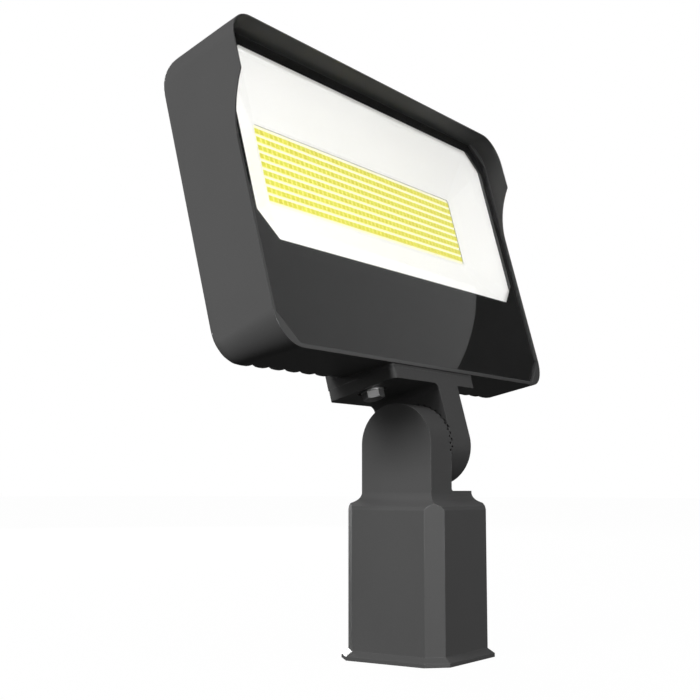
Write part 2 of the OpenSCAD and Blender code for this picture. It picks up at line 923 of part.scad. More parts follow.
// Lamp lead out of the driver's end, up, back over the driver and up into the connector
module lamp_lead(side) {
    start_x = driver_x + driver_len;
    start_w = driver_low + driver_w / 2 - 2 * lead_bend * side;
    turn_x = start_x + lead_bend / 2 + lead_bend * side;
    run_w = connector_w - (3 - side) * lead_bend;
    end_x = connector_x + (2 * side - 1) * pin_x;
    rod_x([start_x, lead_v, start_w], lead_r, turn_x - start_x);
    lead_turn(turn_x, start_w + lead_bend, -90);
    translate([turn_x + lead_bend, lead_v, start_w + lead_bend])
        cylinder(r = lead_r, h = run_w - start_w - 2 * lead_bend);
    lead_turn(turn_x, run_w - lead_bend, 0);
    rod_x([end_x + lead_bend, lead_v, run_w], lead_r, turn_x - end_x - lead_bend);
    lead_turn(end_x + lead_bend, run_w + lead_bend, 180);
    translate([end_x, lead_v, run_w + lead_bend])
        cylinder(r = lead_r, h = connector_w - run_w - lead_bend);
}

module lead_red() {
    color([0.75, 0.1, 0.1])
    in_head()
    lamp_lead(0);
}

module lead_black() {
    color([0.08, 0.08, 0.08])
    in_head()
    lamp_lead(1);
}

module supply_leads() {
    block_end = block_x + block_size[0];
    low = max(block_w, driver_low) + 2 * lead_r + slack;
    color([0.2, 0.2, 0.2])
    in_head()
    for (k = [0 : 2])
        rod_x([block_end, -5, low + lead_step * k], lead_r, driver_x - block_end);
}

// Cable gland and breather vent in the rear wall

module at_gland(v) {
    translate([gland_x, v, gland_w])
        rotate([-90, 0, 0])
            children();
}

module cable_gland() {
    inner = floor_v - locknut_t - 1;
    color([0.1, 0.1, 0.1])
    in_head()
    difference() {
        union() {
            at_gland(inner)
                cylinder(d = gland_d, h = rear_v - inner + over);
            at_gland(rear_v)
                hex(gland_flats, gland_flange_t);
            at_gland(rear_v)
                cylinder(d = gland_d, h = gland_flange_t + seal_ring_t);
        }
        at_gland(inner - over)
            cylinder(r = gland_bore, h = rear_v - inner + gland_flange_t + seal_ring_t + 2 * over);
    }
}

module gland_nut() {
    start = rear_v + gland_flange_t + play;
    skirt = gland_nut_len - 5;
    color([0.1, 0.1, 0.1])
    in_head()
    difference() {
        union() {
            at_gland(start)
                hex(gland_flats, skirt);
            at_gland(start + skirt)
                cylinder(r1 = gland_flats / 2, r2 = gland_bore, h = 5);
        }
        at_gland(start - over)
            cylinder(r = gland_d / 2 + slack, h = seal_ring_t + over);
        at_gland(start)
            cylinder(r = cord_d / 2 + 0.7, h = gland_nut_len + over);
    }
}

module gland_seal() {
    color([0.16, 0.16, 0.16])
    in_head()
    at_gland(rear_v + gland_flange_t)
        washer(gland_bore - slack, cord_d / 2, seal_ring_t);
}

module gland_locknut() {
    color([0.1, 0.1, 0.1])
    in_head()
    at_gland(floor_v - locknut_t)
        difference() {
            hex(1.35 * gland_d, locknut_t);
            translate([0, 0, -over])
                cylinder(r = gland_d / 2 + slack, h = locknut_t + 2 * over);
        }
}

module breather_vent() {
    color([0.12, 0.12, 0.12])
    in_head()
    difference() {
        union() {
            rod_y([vent_x, floor_v, vent_w], vent_r - 1, rear_v - floor_v + over);
            rod_y([vent_x, rear_v, vent_w], vent_r + 1.5, 3);
        }
        for (a = [0 : 60 : 300])
            translate([vent_x, rear_v + 3, vent_w])
                rotate([0, a, 0])
                    rod_y([0, -1.2, 4.5], 0.9, 2);
        rod_y([vent_x, floor_v - over, vent_w], 2, rear_v - floor_v);
    }
}

slipfitter();
set_screws();
pivot_bolt();
pivot_spring_washer();
pivot_flat_washer();
knuckle_bracket();
bracket_bolts();
bracket_washers();
housing();
glass_lens();
glass_border();
lens_seal();
reflector();
reflector_screws();
led_board();
led_chips();
thermal_pad();
board_screws();
board_connector();
driver();
driver_screws();
surge_protector();
terminal_block();
ground_screw();
lead_red();
lead_black();
supply_leads();
cable_gland();
gland_nut();
gland_seal();
gland_locknut();
breather_vent();
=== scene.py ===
import json
import math

import bmesh
import bpy
from mathutils import Matrix, Vector


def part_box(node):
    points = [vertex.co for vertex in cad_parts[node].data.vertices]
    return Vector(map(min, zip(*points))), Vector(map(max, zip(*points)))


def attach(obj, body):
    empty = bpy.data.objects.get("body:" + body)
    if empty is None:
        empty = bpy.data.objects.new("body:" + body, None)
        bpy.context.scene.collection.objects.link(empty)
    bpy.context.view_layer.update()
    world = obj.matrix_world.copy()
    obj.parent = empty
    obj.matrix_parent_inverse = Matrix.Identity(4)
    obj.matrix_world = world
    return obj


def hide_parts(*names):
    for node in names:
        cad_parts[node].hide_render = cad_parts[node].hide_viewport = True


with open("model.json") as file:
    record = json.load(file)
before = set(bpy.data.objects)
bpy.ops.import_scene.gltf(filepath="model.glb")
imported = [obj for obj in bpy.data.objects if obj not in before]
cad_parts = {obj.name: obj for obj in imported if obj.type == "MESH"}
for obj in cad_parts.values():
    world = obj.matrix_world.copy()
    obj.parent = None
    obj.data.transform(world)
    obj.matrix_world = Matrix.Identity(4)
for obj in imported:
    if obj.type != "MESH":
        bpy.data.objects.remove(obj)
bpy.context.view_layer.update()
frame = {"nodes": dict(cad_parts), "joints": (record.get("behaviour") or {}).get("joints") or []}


# Slipfitter casting: a square die-cast aluminium sleeve that drops over the pole tenon, with the
# lower knuckle arm grown out of its shoulder. It is blasted, then powder coated dark grey, so its
# skin has a fine orange peel and its edges are softened by the coat.

class Signal:
    """One output of a node, used in sums and products like a number."""

    def __init__(self, tree, socket):
        self.tree = tree
        self.socket = socket

    def math(self, operation, *values, clamp=False):
        sockets = dict(enumerate(values))
        return self.tree.add("Math", {"operation": operation, "use_clamp": clamp}, sockets)

    def __add__(self, other):
        return self.math("ADD", self, other)

    def __radd__(self, other):
        return self.math("ADD", other, self)

    def __sub__(self, other):
        return self.math("SUBTRACT", self, other)

    def __rsub__(self, other):
        return self.math("SUBTRACT", other, self)

    def __mul__(self, other):
        return self.math("MULTIPLY", self, other)

    def __rmul__(self, other):
        return self.math("MULTIPLY", other, self)

    def __gt__(self, other):
        return self.math("GREATER_THAN", self, other)

    def clamped(self):
        return self.math("ADD", self, 0.0, clamp=True)

    def largest(self, other):
        return self.math("MAXIMUM", self, other)


class Tree:
    """A node tree that is added to one node at a time."""

    def __init__(self, nodes_of):
        nodes_of.use_nodes = True
        self.tree = nodes_of.node_tree

    def add(self, kind, settings=None, sockets=None, out=0):
        node = self.tree.nodes.new("ShaderNode" + kind)
        for name, value in (settings or {}).items():
            setattr(node, name, value)
        for name, value in (sockets or {}).items():
            self.plug(node.inputs[name], value)
        return Signal(self, node.outputs[out])

    def plug(self, socket, value):
        if isinstance(value, Signal):
            self.tree.links.new(value.socket, socket)
        else:
            socket.default_value = value


class Finish(Tree):
    """A material with one Principled shader."""

    def __init__(self, name):
        self.material = bpy.data.materials.new(name)
        super().__init__(self.material)
        self.shader = self.tree.nodes["Principled BSDF"]
        self.place = self.add("TexCoord", out="Object")

    def set(self, **sockets):
        for name, value in sockets.items():
            self.plug(self.shader.inputs[name.replace("_", " ")], value)

    def noise(self, size, detail=2.0, stretch=(1, 1, 1)):
        """Noise from 0 to 1 whose lumps are about size metres across."""
        place = self.add("VectorMath", {"operation": "MULTIPLY"}, {0: self.place, 1: stretch}, "Vector")
        return self.add("TexNoise", {}, {"Vector": place, "Scale": 1 / size, "Detail": detail})

    def blend(self, share, low, high):
        """Colour that goes from low to high with share."""
        return self.add("Mix", {"data_type": "RGBA"}, {0: share, 6: low, 7: high}, 2)

    def relief(self, height, depth, normal=None):
        """Bump of the given depth in metres."""
        sockets = {"Height": height, "Strength": 1.0, "Distance": depth}
        if normal:
            sockets["Normal"] = normal
        return self.add("Bump", {}, sockets, "Normal")

    def soft_edges(self, radius):
        """Normal that rounds the edges of the mesh."""
        return self.add("Bevel", {"samples": 6}, {"Radius": radius}, "Normal")

    def edge_share(self, rounded):
        """How near an edge a point is, from 0 to 1, by the normal that soft_edges gives."""
        flat = self.add("NewGeometry", out="Normal")
        along = self.add("VectorMath", {"operation": "DOT_PRODUCT"}, {0: rounded, 1: flat}, "Value")
        return ((1 - along) * 6).clamped()


def grey(value):
    return (value, value, value, 1)


def powder_coat(name):
    coat = Finish(name)
    rounded = coat.soft_edges(0.0007)
    edge = coat.edge_share(rounded)
    cloud = coat.noise(0.05, 3)
    speckle = coat.noise(0.0006, 2)
    peel = coat.noise(0.0011, 1)
    base = coat.blend(cloud, grey(0.083), grey(0.093))
    worn = coat.blend(edge * 0.3 + (speckle - 0.5) * 0.3, base, grey(0.17))
    coat.set(
        Base_Color=worn,
        Roughness=(0.47 - edge * 0.2 + (speckle - 0.5) * 0.16 + (cloud - 0.5) * 0.1).clamped(),
        Coat_Weight=edge * 0.7,
        Coat_Roughness=0.12,
        Normal=coat.relief(peel + speckle * 0.35, 0.000035, rounded),
        Specular_IOR_Level=0.25)
    return coat


def mesh_from(work, name):
    mesh = bpy.data.meshes.new(name)
    work.to_mesh(mesh)
    work.free()
    return mesh


def corner_at(face, vert):
    return next(loop for loop in face.loops if loop.vert == vert)


def shaded(mesh, crease=30.0, flat_area=6e-5):
    """Smooths a closed mesh up to a crease angle and keeps its large flats flat."""
    one_plane = 0.99999
    mesh.polygons.foreach_set("use_smooth", [True] * len(mesh.polygons))
    work = bmesh.new()
    work.from_mesh(mesh)
    work.faces.ensure_lookup_table()
    region = {}
    for face in work.faces:
        if face in region:
            continue
        region[face] = [face]
        queue = [face]
        while queue:
            for edge in queue.pop().edges:
                for other in edge.link_faces:
                    if other not in region and other.normal.dot(face.normal) > one_plane:
                        region[other] = region[face]
                        region[face].append(other)
                        queue.append(other)
    area = {id(group): sum(f.calc_area() for f in group) for group in region.values()}
    limit = math.cos(math.radians(crease))
    normals = [None] * len(mesh.loops)
    for vert in work.verts:
        left = set(vert.link_faces)
        while left:
            first = left.pop()
            group = [first]
            queue = [first]
            while queue:
                face = queue.pop()
                for edge in face.edges:
                    if vert not in edge.verts:
                        continue
                    for other in edge.link_faces:
                        if other in left and other.normal.dot(face.normal) > limit:
                            left.discard(other)
                            group.append(other)
                            queue.append(other)
            largest = max(group, key=lambda f: area[id(region[f])])
            if area[id(region[largest])] > flat_area:
                normal = largest.normal
            else:
                normal = Vector()
                for face in group:
                    normal += face.normal * corner_at(face, vert).calc_angle()
                normal = normal.normalized()
            for face in group:
                own = area[id(region[face])] > flat_area
                normals[corner_at(face, vert).index] = tuple(face.normal if own else normal)
    work.free()
    mesh.normals_split_custom_set(normals)


def piece(name, mesh, body, finish, slot, *nodes):
    """Object that stands for CAD nodes and moves with a body."""
    thing = bpy.data.objects.new(name, mesh)
    bpy.context.scene.collection.objects.link(thing)
    for material in finish if isinstance(finish, list) else [finish]:
        mesh.materials.append(material)
    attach(thing, body)
    if nodes:
        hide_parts(*nodes)
    return thing


def casting(name, node, body, finish, slot, crease=30.0, flat_area=6e-5):
    """The node's own shape with its faces joined at their edges."""
    work = bmesh.new()
    work.from_mesh(frame["nodes"][node].data)
    bmesh.ops.remove_doubles(work, verts=work.verts, dist=2e-6)
    bmesh.ops.dissolve_degenerate(work, dist=1e-6, edges=work.edges)
    mesh = mesh_from(work, name)
    shaded(mesh, crease, flat_area)
    return piece(name, mesh, body, finish, slot, node)


coat = powder_coat("powder_coat").material
casting("slipfitter_casting", "slipfitter", "fitter", coat, "casting")


# Set screws: four M10 stainless hex screws, run in through the slipfitter's walls until their
# tips bite on the tenon. The heads are cold forged with chamfered corners and the threads rolled.

def steel(name, tone, rough):
    bare = Finish(name)
    rounded = bare.soft_edges(0.00025)
    grain = bare.noise(0.0009, 3, (1, 1, 6))
    stain = bare.noise(0.006, 3)
    bare.set(
        Base_Color=bare.blend(stain * 0.6 + grain * 0.4, grey(tone * 0.8), grey(tone * 1.1)),
        Metallic=1.0,
        Roughness=(rough + (grain - 0.5) * 0.14 + (stain - 0.5) * 0.12).clamped(),
        Normal=bare.relief(grain, 0.00001, rounded))
    return bare.material


def hex_head(work, flats, height, sides=8):
    """Hex head from z = -height up to 0, its outer face chamfered at 30 degrees."""
    half = flats / 2
    flat_top = 0.94 * half
    around = [2 * math.pi * k / (6 * sides) for k in range(6 * sides)]
    reach = [half / math.cos((a + math.pi / 6) % (math.pi / 3) - math.pi / 6) for a in around]

    def ring(radii, heights):
        return [work.verts.new((r * math.cos(a), r * math.sin(a), z))
                for r, a, z in zip(radii, around, heights)]

    slope = math.tan(math.radians(30))
    face = ring([flat_top] * len(around), [-height] * len(around))
    rim = ring(reach, [-height + (r - flat_top) * slope for r in reach])
    seat = ring(reach, [0] * len(around))
    work.faces.new(face[::-1])
    work.faces.new(seat)
    for low, high in ((face, rim), (rim, seat)):
        for k in range(len(around)):
            j = (k + 1) % len(around)
            work.faces.new((low[k], low[j], high[j], high[k]))


def thread(work, d, pitch, start, end, sides=36):
    """Threaded shank along +z from start to end with a chamfered tip."""
    steps = max(4, round((end - start) / pitch * 8))
    depth = 0.55 * pitch
    rings = []
    for i in range(steps + 1):
        z = start + (end - start) * i / steps
        ring = []
        for k in range(sides):
            phase = (z / pitch - k / sides) % 1
            cut = depth * abs(2 * phase - 1)
            cut = max(cut, min(depth, depth - (end - z)), 0)
            r = d / 2 - cut
            a = 2 * math.pi * k / sides
            ring.append(work.verts.new((r * math.cos(a), r * math.sin(a), z)))
        rings.append(ring)
    work.faces.new(rings[0][::-1])
    work.faces.new(rings[-1])
    for low, high in zip(rings, rings[1:]):
        for k in range(sides):
            j = (k + 1) % sides
            work.faces.new((low[k], low[j], high[j], high[k]))


def hex_screws(name, places, sizes, body, finish, slot, node):
    """Hex screws at the given places, each with its head below z = 0 and its shank above.

    The sizes are the thread's diameter, the width across the flats, the head's height, the
    pitch, the plain length under the head and the whole length.
    """
    d, flats, height, pitch, plain, length = sizes
    whole = bmesh.new()
    for place in places:
        work = bmesh.new()
        hex_head(work, flats, height)
        if plain:
            bmesh.ops.create_cone(work, cap_ends=True, segments=36, radius1=d / 2, radius2=d / 2,
                                  depth=plain, matrix=Matrix.Translation((0, 0, plain / 2)))
        thread(work, d, pitch, plain, length)
        work.transform(place)
        one_screw = mesh_from(work, "one_screw")
        whole.from_mesh(one_screw)
        bpy.data.meshes.remove(one_screw)
    bmesh.ops.recalc_face_normals(whole, faces=whole.faces)
    mesh = mesh_from(whole, name)
    shaded(mesh, 24, 8e-6)
    return piece(name, mesh, body, finish, slot, node)


screw_steel = steel("stainless_screw", 0.62, 0.34)
set_tip = 0.0313
set_length = 0.014
set_turns = (90, 180)
set_heights = (0.024, 0.066)
set_places = [
    Matrix.Rotation(math.radians(turn), 4, "Z")
    @ Matrix.Translation((0, -set_tip - set_length, z)) @ Matrix.Rotation(-math.pi / 2, 4, "X")
    for turn in set_turns for z in set_heights]
hex_screws("set_screws_cut", set_places, (0.010, 0.016, 0.0064, 0.0015, 0, set_length),
           "fitter", screw_steel, "screw_steel", "set_screws")


# Pivot bolt: an M12 stainless hex bolt that clamps the two toothed knuckle arms together, over a
# flat washer and a split spring washer. Its shank is plain where the bracket turns on it.

washer_steel = steel("stainless_washer", 0.5, 0.4)
pivot = Vector(frame["joints"][0]["pos_m"])
bolt_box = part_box("pivot_bolt")
bolt_head = 0.00744
bolt_seat = bolt_box[1][0] - bolt_head
hex_screws("pivot_bolt_cut",
           [Matrix.Translation((bolt_seat, 0, pivot.z)) @ Matrix.Rotation(-math.pi / 2, 4, "Y")],
           (0.012, 0.018, bolt_head, 0.00175, 0.034, bolt_seat - bolt_box[0][0]),
           "fitter", screw_steel, "screw_steel", "pivot_bolt")
casting("spring_washer_ring", "pivot_spring_washer", "fitter", washer_steel, "washer_steel")
casting("flat_washer_ring", "pivot_flat_washer", "fitter", washer_steel, "washer_steel")


# Knuckle bracket: a plate with the upper toothed arm, die cast in one and coated like the
# slipfitter. Two M8 hex bolts on washers pull it up against the pad under the housing.

casting("bracket_casting", "knuckle_bracket", "head", coat, "casting")
tilt = math.radians(15)
head_in_world = Matrix.Translation(pivot) @ Matrix.Rotation(-tilt, 4, "X")
clamp_seat = 0.0359
clamp_side = 0.041
clamp_turn = Matrix.Rotation(math.radians(33), 4, "Z")
clamp_places = [head_in_world @ Matrix.Translation((x, 0, clamp_seat)) @ clamp_turn
                for x in (-clamp_side, clamp_side)]
hex_screws("bracket_bolts_cut", clamp_places, (0.008, 0.013, 0.00528, 0.00125, 0.004, 0.025),
           "head", steel("dull_screw", 0.5, 0.38), "screw_steel", "bracket_bolts")
casting("bracket_washer_rings", "bracket_washers", "head", washer_steel, "washer_steel")


# Housing: the large die casting that is the lamp's body and its heat sink, with a visor wrapped
# round its top and sides, upright fins over its back and a pad below for the bracket. It has the
# same dark grey powder coat as the knuckle, rubbed to a gloss on the rim's narrow front face.

def rubbed_coat():
    rubbed = powder_coat("rubbed_coat")
    grain = rubbed.noise(0.0006, 2)
    rubbed.set(Roughness=(0.16 + (grain - 0.5) * 0.1).clamped(), Specular_IOR_Level=0.9)
    return rubbed.material


housing = casting("housing_casting", "housing", "head", [coat, rubbed_coat()], "casting", 24, 4e-4)
face_way = head_in_world.to_3x3() @ Vector((0, -1, 0))
world_in_head = head_in_world.inverted()
rim_front = -0.0286
rim_play = 2e-4
faces_front = 0.999
for face in housing.data.polygons:
    behind_rim = abs((world_in_head @ face.center).y - rim_front)
    if behind_rim < rim_play and face.normal.dot(face_way) > faces_front:
        face.material_index = 1


# Cable gland and breather vent in the rear wall: moulded black nylon. The gland's dome nut
# squeezes a rubber ring round the supply cord, and a locknut holds the gland from inside.

def moulded(name, colour, rough):
    plastic = Finish(name)
    rounded = plastic.soft_edges(0.0003)
    edge = plastic.edge_share(rounded)
    flow = plastic.noise(0.008, 3)
    grain = plastic.noise(0.0004, 2)
    light = tuple(min(1, c * 1.25 + 0.01) for c in colour) + (1,)
    dark = tuple(c * 0.85 for c in colour) + (1,)
    plastic.set(
        Base_Color=plastic.blend(flow * 0.7 + edge * 0.3, dark, light),
        Roughness=(rough + (grain - 0.5) * 0.2 + (flow - 0.5) * 0.1).clamped(),
        Normal=plastic.relief(grain, 0.00002, rounded))
    return plastic.material


def rubber(name, tone):
    skin = Finish(name)
    dust = skin.noise(0.004, 4)
    grain = skin.noise(0.0003, 2)
    skin.set(
        Base_Color=skin.blend(dust, grey(tone * 0.8), grey(tone * 1.35)),
        Roughness=(0.72 + (dust - 0.5) * 0.2).clamped(),
        Normal=skin.relief(grain, 0.000025),
        Specular_IOR_Level=0.35)
    return skin.material


black_nylon = moulded("black_nylon", (0.02, 0.02, 0.021), 0.42)
seal_rubber = rubber("seal_rubber", 0.045)
for name, node in (("gland_body", "cable_gland"), ("gland_dome_nut", "gland_nut"),
                   ("gland_inner_nut", "gland_locknut"), ("breather_plug", "breather_vent")):
    casting(name, node, "head", black_nylon, "black_plastic")
casting("gland_ring", "gland_seal", "head", seal_rubber, "seal_rubber")


# Driver bay behind the printed glass: a potted driver in a folded aluminium case, a surge
# protector, a terminal block and an earthing screw, joined by silicone insulated leads.

def folded_sheet(name, tone):
    sheet = Finish(name)
    rounded = sheet.soft_edges(0.0006)
    brushed = sheet.noise(0.0012, 3, (0.05, 1, 1))
    smear = sheet.noise(0.03, 3)
    sheet.set(
        Base_Color=sheet.blend(brushed * 0.5 + smear * 0.5, grey(tone * 0.85), grey(tone * 1.08)),
        Metallic=1.0,
        Roughness=(0.42 + (brushed - 0.5) * 0.2 + (smear - 0.5) * 0.12).clamped(),
        Normal=sheet.relief(brushed, 0.00001, rounded))
    return sheet.material


case = folded_sheet("driver_case", 0.7)
casting("driver_body", "driver", "head", case, "driver_case")
blue_case = moulded("surge_case", (0.06, 0.13, 0.32), 0.45)
casting("surge_body", "surge_protector", "head", blue_case, "blue_plastic")
white_nylon = moulded("white_nylon", (0.74, 0.74, 0.7), 0.5)
casting("terminal_body", "terminal_block", "head", white_nylon, "white_plastic")
green_steel = steel("green_plating", 0.3, 0.4)
green_steel.node_tree.nodes["Principled BSDF"].inputs["Specular Tint"].default_value = (0.4, 1, 0.5, 1)
casting("earth_screw", "ground_screw", "head", green_steel, "green_screw")
casting("driver_screw_set", "driver_screws", "head", screw_steel, "screw_steel")
for name, node, slot, colour in (
        ("lamp_lead_red", "lead_red", "red_insulation", (0.5, 0.02, 0.02)),
        ("lamp_lead_black", "lead_black", "black_insulation", (0.02, 0.02, 0.02)),
        ("supply_lead_set", "supply_leads", "black_insulation", (0.022, 0.022, 0.022))):
    casting(name, node, "head", moulded(name + "_skin", colour, 0.5), slot)


# Lamp board: nine rows of small surface-mount chips soldered to a white, aluminium-cored board.
# Each chip is a white moulded cup filled with yellow phosphor. A soft pad carries the heat away.

# The board, the chip cups and the phosphor all carry a faint painted glow, far weaker than a lit lamp,
# that brightens them.
def solder_mask_painted_glow():
    mask = Finish("solder_mask_painted_glow")
    print_through = mask.noise(0.009, 3)
    grain = mask.noise(0.0005, 2)
    # The emission is a painted glow that brightens the board; the board itself is no lamp.
    mask.set(
        Base_Color=mask.blend(print_through, (0.85, 0.83, 0.7, 1), (0.91, 0.89, 0.76, 1)),
        Roughness=(0.38 + (grain - 0.5) * 0.2).clamped(),
        Normal=mask.relief(grain, 0.00001),
        Emission_Color=(1.0, 0.95, 0.62, 1),
        Emission_Strength=0.33)
    return mask.material


def chip_cup_painted_glow():
    cup = Finish("chip_cup_painted_glow")
    grain = cup.noise(0.0006, 2)
    # The yellow emission is a painted glow that brightens the cups, not a lit lamp.
    cup.set(
        Base_Color=cup.blend(grain, (0.8, 0.76, 0.26, 1), (0.86, 0.84, 0.36, 1)),
        Roughness=(0.4 + (grain - 0.5) * 0.2).clamped(),
        Emission_Color=(1.0, 0.92, 0.2, 1),
        Emission_Strength=0.26)
    return cup.material


def phosphor():
    gel = Finish("phosphor")
    lot = gel.noise(0.006, 2)
    grain = gel.noise(0.0004, 2)
    # The phosphor's emission is a painted glow that brightens its yellow, not a lit lamp.
    gel.set(
        Base_Color=gel.blend(lot * 0.7 + grain * 0.3, (0.66, 0.52, 0.03, 1), (0.72, 0.82, 0.09, 1)),
        Roughness=(0.35 + (grain - 0.5) * 0.3).clamped(),
        Emission_Color=gel.blend(lot, (0.95, 0.78, 0.05, 1), (0.85, 0.95, 0.12, 1)),
        Emission_Strength=0.18,
        Normal=gel.relief(grain, 0.00002))
    return gel.material


def lamp_chips():
    """Chip cups with their phosphor, in the head's own frame."""
    low, high = (Vector(c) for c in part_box("led_chips"))
    middle = world_in_head @ ((low + high) / 2)
    rows, cols = 9, 50
    row_pitch, col_pitch = 0.006, 0.005
    across, up, deep = 0.0043, 0.0038, 0.0007
    work = bmesh.new()
    for row in range(rows):
        for col in range(cols):
            x = (col - (cols - 1) / 2) * col_pitch
            z = middle.z + (row - (rows - 1) / 2) * row_pitch
            back = middle.y + deep / 2
            rings = []
            for inset, y in ((0, back), (0, back - deep + 0.0001), (0.00006, back - deep),
                             (0.00014, back - deep), (0.0002, back - deep + 0.00008)):
                a = across / 2 - inset
                b = up / 2 - inset
                rings.append([work.verts.new((x + p * a, y, z + q * b))
                              for p, q in ((-1, -1), (1, -1), (1, 1), (-1, 1))])
            for first, second in zip(rings, rings[1:]):
                for k in range(4):
                    j = (k + 1) % 4
                    work.faces.new((first[k], first[j], second[j], second[k]))
            work.faces.new(rings[0][::-1])
            work.faces.new(rings[-1]).material_index = 1
    work.transform(head_in_world)
    bmesh.ops.recalc_face_normals(work, faces=work.faces)
    return mesh_from(work, "lamp_chips")


casting("lamp_board", "led_board", "head", solder_mask_painted_glow(), "board")
piece("lamp_chips", lamp_chips(), "head", [chip_cup_painted_glow(), phosphor()], "phosphor", "led_chips")
casting("lamp_board_screws", "board_screws", "head", screw_steel, "screw_steel")
casting("lamp_connector", "board_connector", "head", white_nylon, "white_plastic")
casting("heat_pad", "thermal_pad", "head", rubber("pad_silicone", 0.4), "pad_rubber")


# Reflector: a tray folded from white coated sheet round the lamp board, with sloping walls and a
# narrow flat lip at its opening. The cut edge of the lip shows as a thin grey line.

def white_coat_painted_glow(name, glow):
    white = Finish(name)
    rounded = white.soft_edges(0.0012)
    cloud = white.noise(0.04, 3)
    peel = white.noise(0.0015, 1)
    # The emission is a painted glow: it makes the tray shine as if lit, though the tray is no lamp.
    white.set(
        Base_Color=white.blend(cloud, grey(0.62), grey(0.66)),
        Roughness=(0.34 + (peel - 0.5) * 0.16).clamped(),
        Emission_Color=(1, 0.985, 0.95, 1),
        Emission_Strength=glow,
        Normal=white.relief(peel, 0.000004, rounded))
    return white.material


def cut_edge():
    edge = Finish("cut_edge")
    grain = edge.noise(0.0004, 2)
    edge.set(
        Base_Color=edge.blend(grain, grey(0.22), grey(0.34)),
        Metallic=0.3,
        Roughness=(0.5 + (grain - 0.5) * 0.2).clamped())
    return edge.material


def chamfered(half, low, high, corner):
    return [(-half + corner, low), (half - corner, low), (half, low + corner), (half, high - corner),
            (half - corner, high), (-half + corner, high), (-half, high - corner), (-half, low + corner)]


def tray():
    """Flange, mouth, walls and lip of the tray, in the head's own frame."""
    front, rear = -0.02155, -0.0063
    flange = (0.1642, 0.101, 0.2552, 0.016)
    mouth = (0.1605, 0.1175, 0.25, 0.015)
    lamp = (0.1253, 0.153, 0.21, 0.0015)
    lip = 0.0028
    sheet = 0.0015
    step = 0.0006
    burr = 0.0001
    wall_coat, cut, lip_coat = 0, 1, 2

    def wall(share, grow):
        half, low, high, corner = (m + (n - m) * share for m, n in zip(mouth, lamp))
        return chamfered(half + grow, low - grow, high + grow, max(corner + grow * 0.6, 0.0004))

    rings = [
        (front + sheet, chamfered(*flange), wall_coat),
        (front, chamfered(*flange), wall_coat),
        (front, wall(0, 0.0012), wall_coat),
        (front + 0.0004, wall(0, 0.0003), wall_coat),
        (front + 0.0012, wall(0.06, 0), wall_coat),
        (rear - step - 0.0006, wall(0.985, lip * 0.9), wall_coat),
        (rear - step, wall(1, lip * 0.8), lip_coat),
        (rear - step, wall(1, burr), wall_coat),
        (rear - step + burr, wall(1, 0), cut),
        (rear + burr, wall(1, 0), wall_coat),
        (rear + burr, wall(1, lip + 0.0006), wall_coat),
        (front + sheet + 0.002, wall(0.1, sheet * 2.2), wall_coat),
        (front + sheet, wall(0, sheet * 2.4), wall_coat)]
    work = bmesh.new()
    loops = [[work.verts.new((x, y, z)) for x, z in outline] for y, outline, _ in rings]
    for (_, _, strip), first, second in zip(rings, loops, loops[1:] + loops[:1]):
        for i in range(8):
            j = (i + 1) % 8
            work.faces.new((first[i], first[j], second[j], second[i])).material_index = strip
    work.transform(head_in_world)
    bmesh.ops.recalc_face_normals(work, faces=work.faces)
    mesh = mesh_from(work, "reflector_tray")
    shaded(mesh, 20)
    return mesh


# Walls and lip take two glowing copies of the white coat, each with its own strength of painted glow.
tray_finish = [white_coat_painted_glow("white_coat_painted_glow", 0.455), cut_edge(), white_coat_painted_glow("white_lip_painted_glow", 0.44)]
piece("reflector_tray", tray(), "head", tray_finish, "white_sheet", "reflector")
casting("tray_screw_set", "reflector_screws", "head", screw_steel, "screw_steel")


# Front glass: a pane of tempered glass with ground edges, on a silicone seal. Its border is
# screen printed in black on the inner face, so the print is seen through the gloss of the pane.

def clear_glass():
    glass = Finish("clear_glass")
    edge = glass.edge_share(glass.soft_edges(0.0004))
    smear = glass.noise(0.05, 3)
    glass.set(
        Base_Color=glass.blend(edge, (0.993, 0.996, 0.992, 1), (0.8, 0.93, 0.88, 1)),
        Roughness=((smear - 0.55) * 0.05).clamped(),
        IOR=1.5,
        Transmission_Weight=1.0)
    return glass.material


def glass_edge_painted_shade():
    ground = Finish("glass_edge_painted_shade")
    grain = ground.noise(0.0005, 2)
    # Near black on the side faces is painted shade, standing for the dark gap between the pane and the
    # housing.
    ground.set(
        Base_Color=ground.blend(grain, grey(0.01), grey(0.02)),
        Roughness=(0.3 + (grain - 0.5) * 0.1).clamped())
    return ground.material


def black_print():
    ink = Finish("black_print")
    dots = ink.noise(0.0005, 2)
    ink.set(
        Base_Color=ink.blend(dots, grey(0.002), grey(0.004)),
        Roughness=(0.6 + (dots - 0.5) * 0.2).clamped(),
        Specular_IOR_Level=0.02)
    return ink.material


casting("front_seal", "lens_seal", "head", seal_rubber, "seal_rubber")
border = casting("glass_print", "glass_border", "head", black_print(), "black_print")
print_gap = 0.00003
for vert in border.data.vertices:
    vert.co -= face_way * print_gap
pane = casting("front_glass", "glass_lens", "head", [clear_glass(), glass_edge_painted_shade()], "clear_glass")
# The pane's side faces take the near black edge finish, the painted shade of the gap round the pane.
on_edge = 0.9
for face in pane.data.polygons:
    if abs(face.normal.dot(face_way)) < on_edge:
        face.material_index = 1
pane.visible_shadow = False


# Studio: a plain pale floor that takes the shadow, and soft boxes on the left, in front, above and
# behind. The lower glass mirrors a round box before a dark flag, cut off where the clear window
# begins so that its edge doesn't cross the tray, and one more card lights the rounded edges.

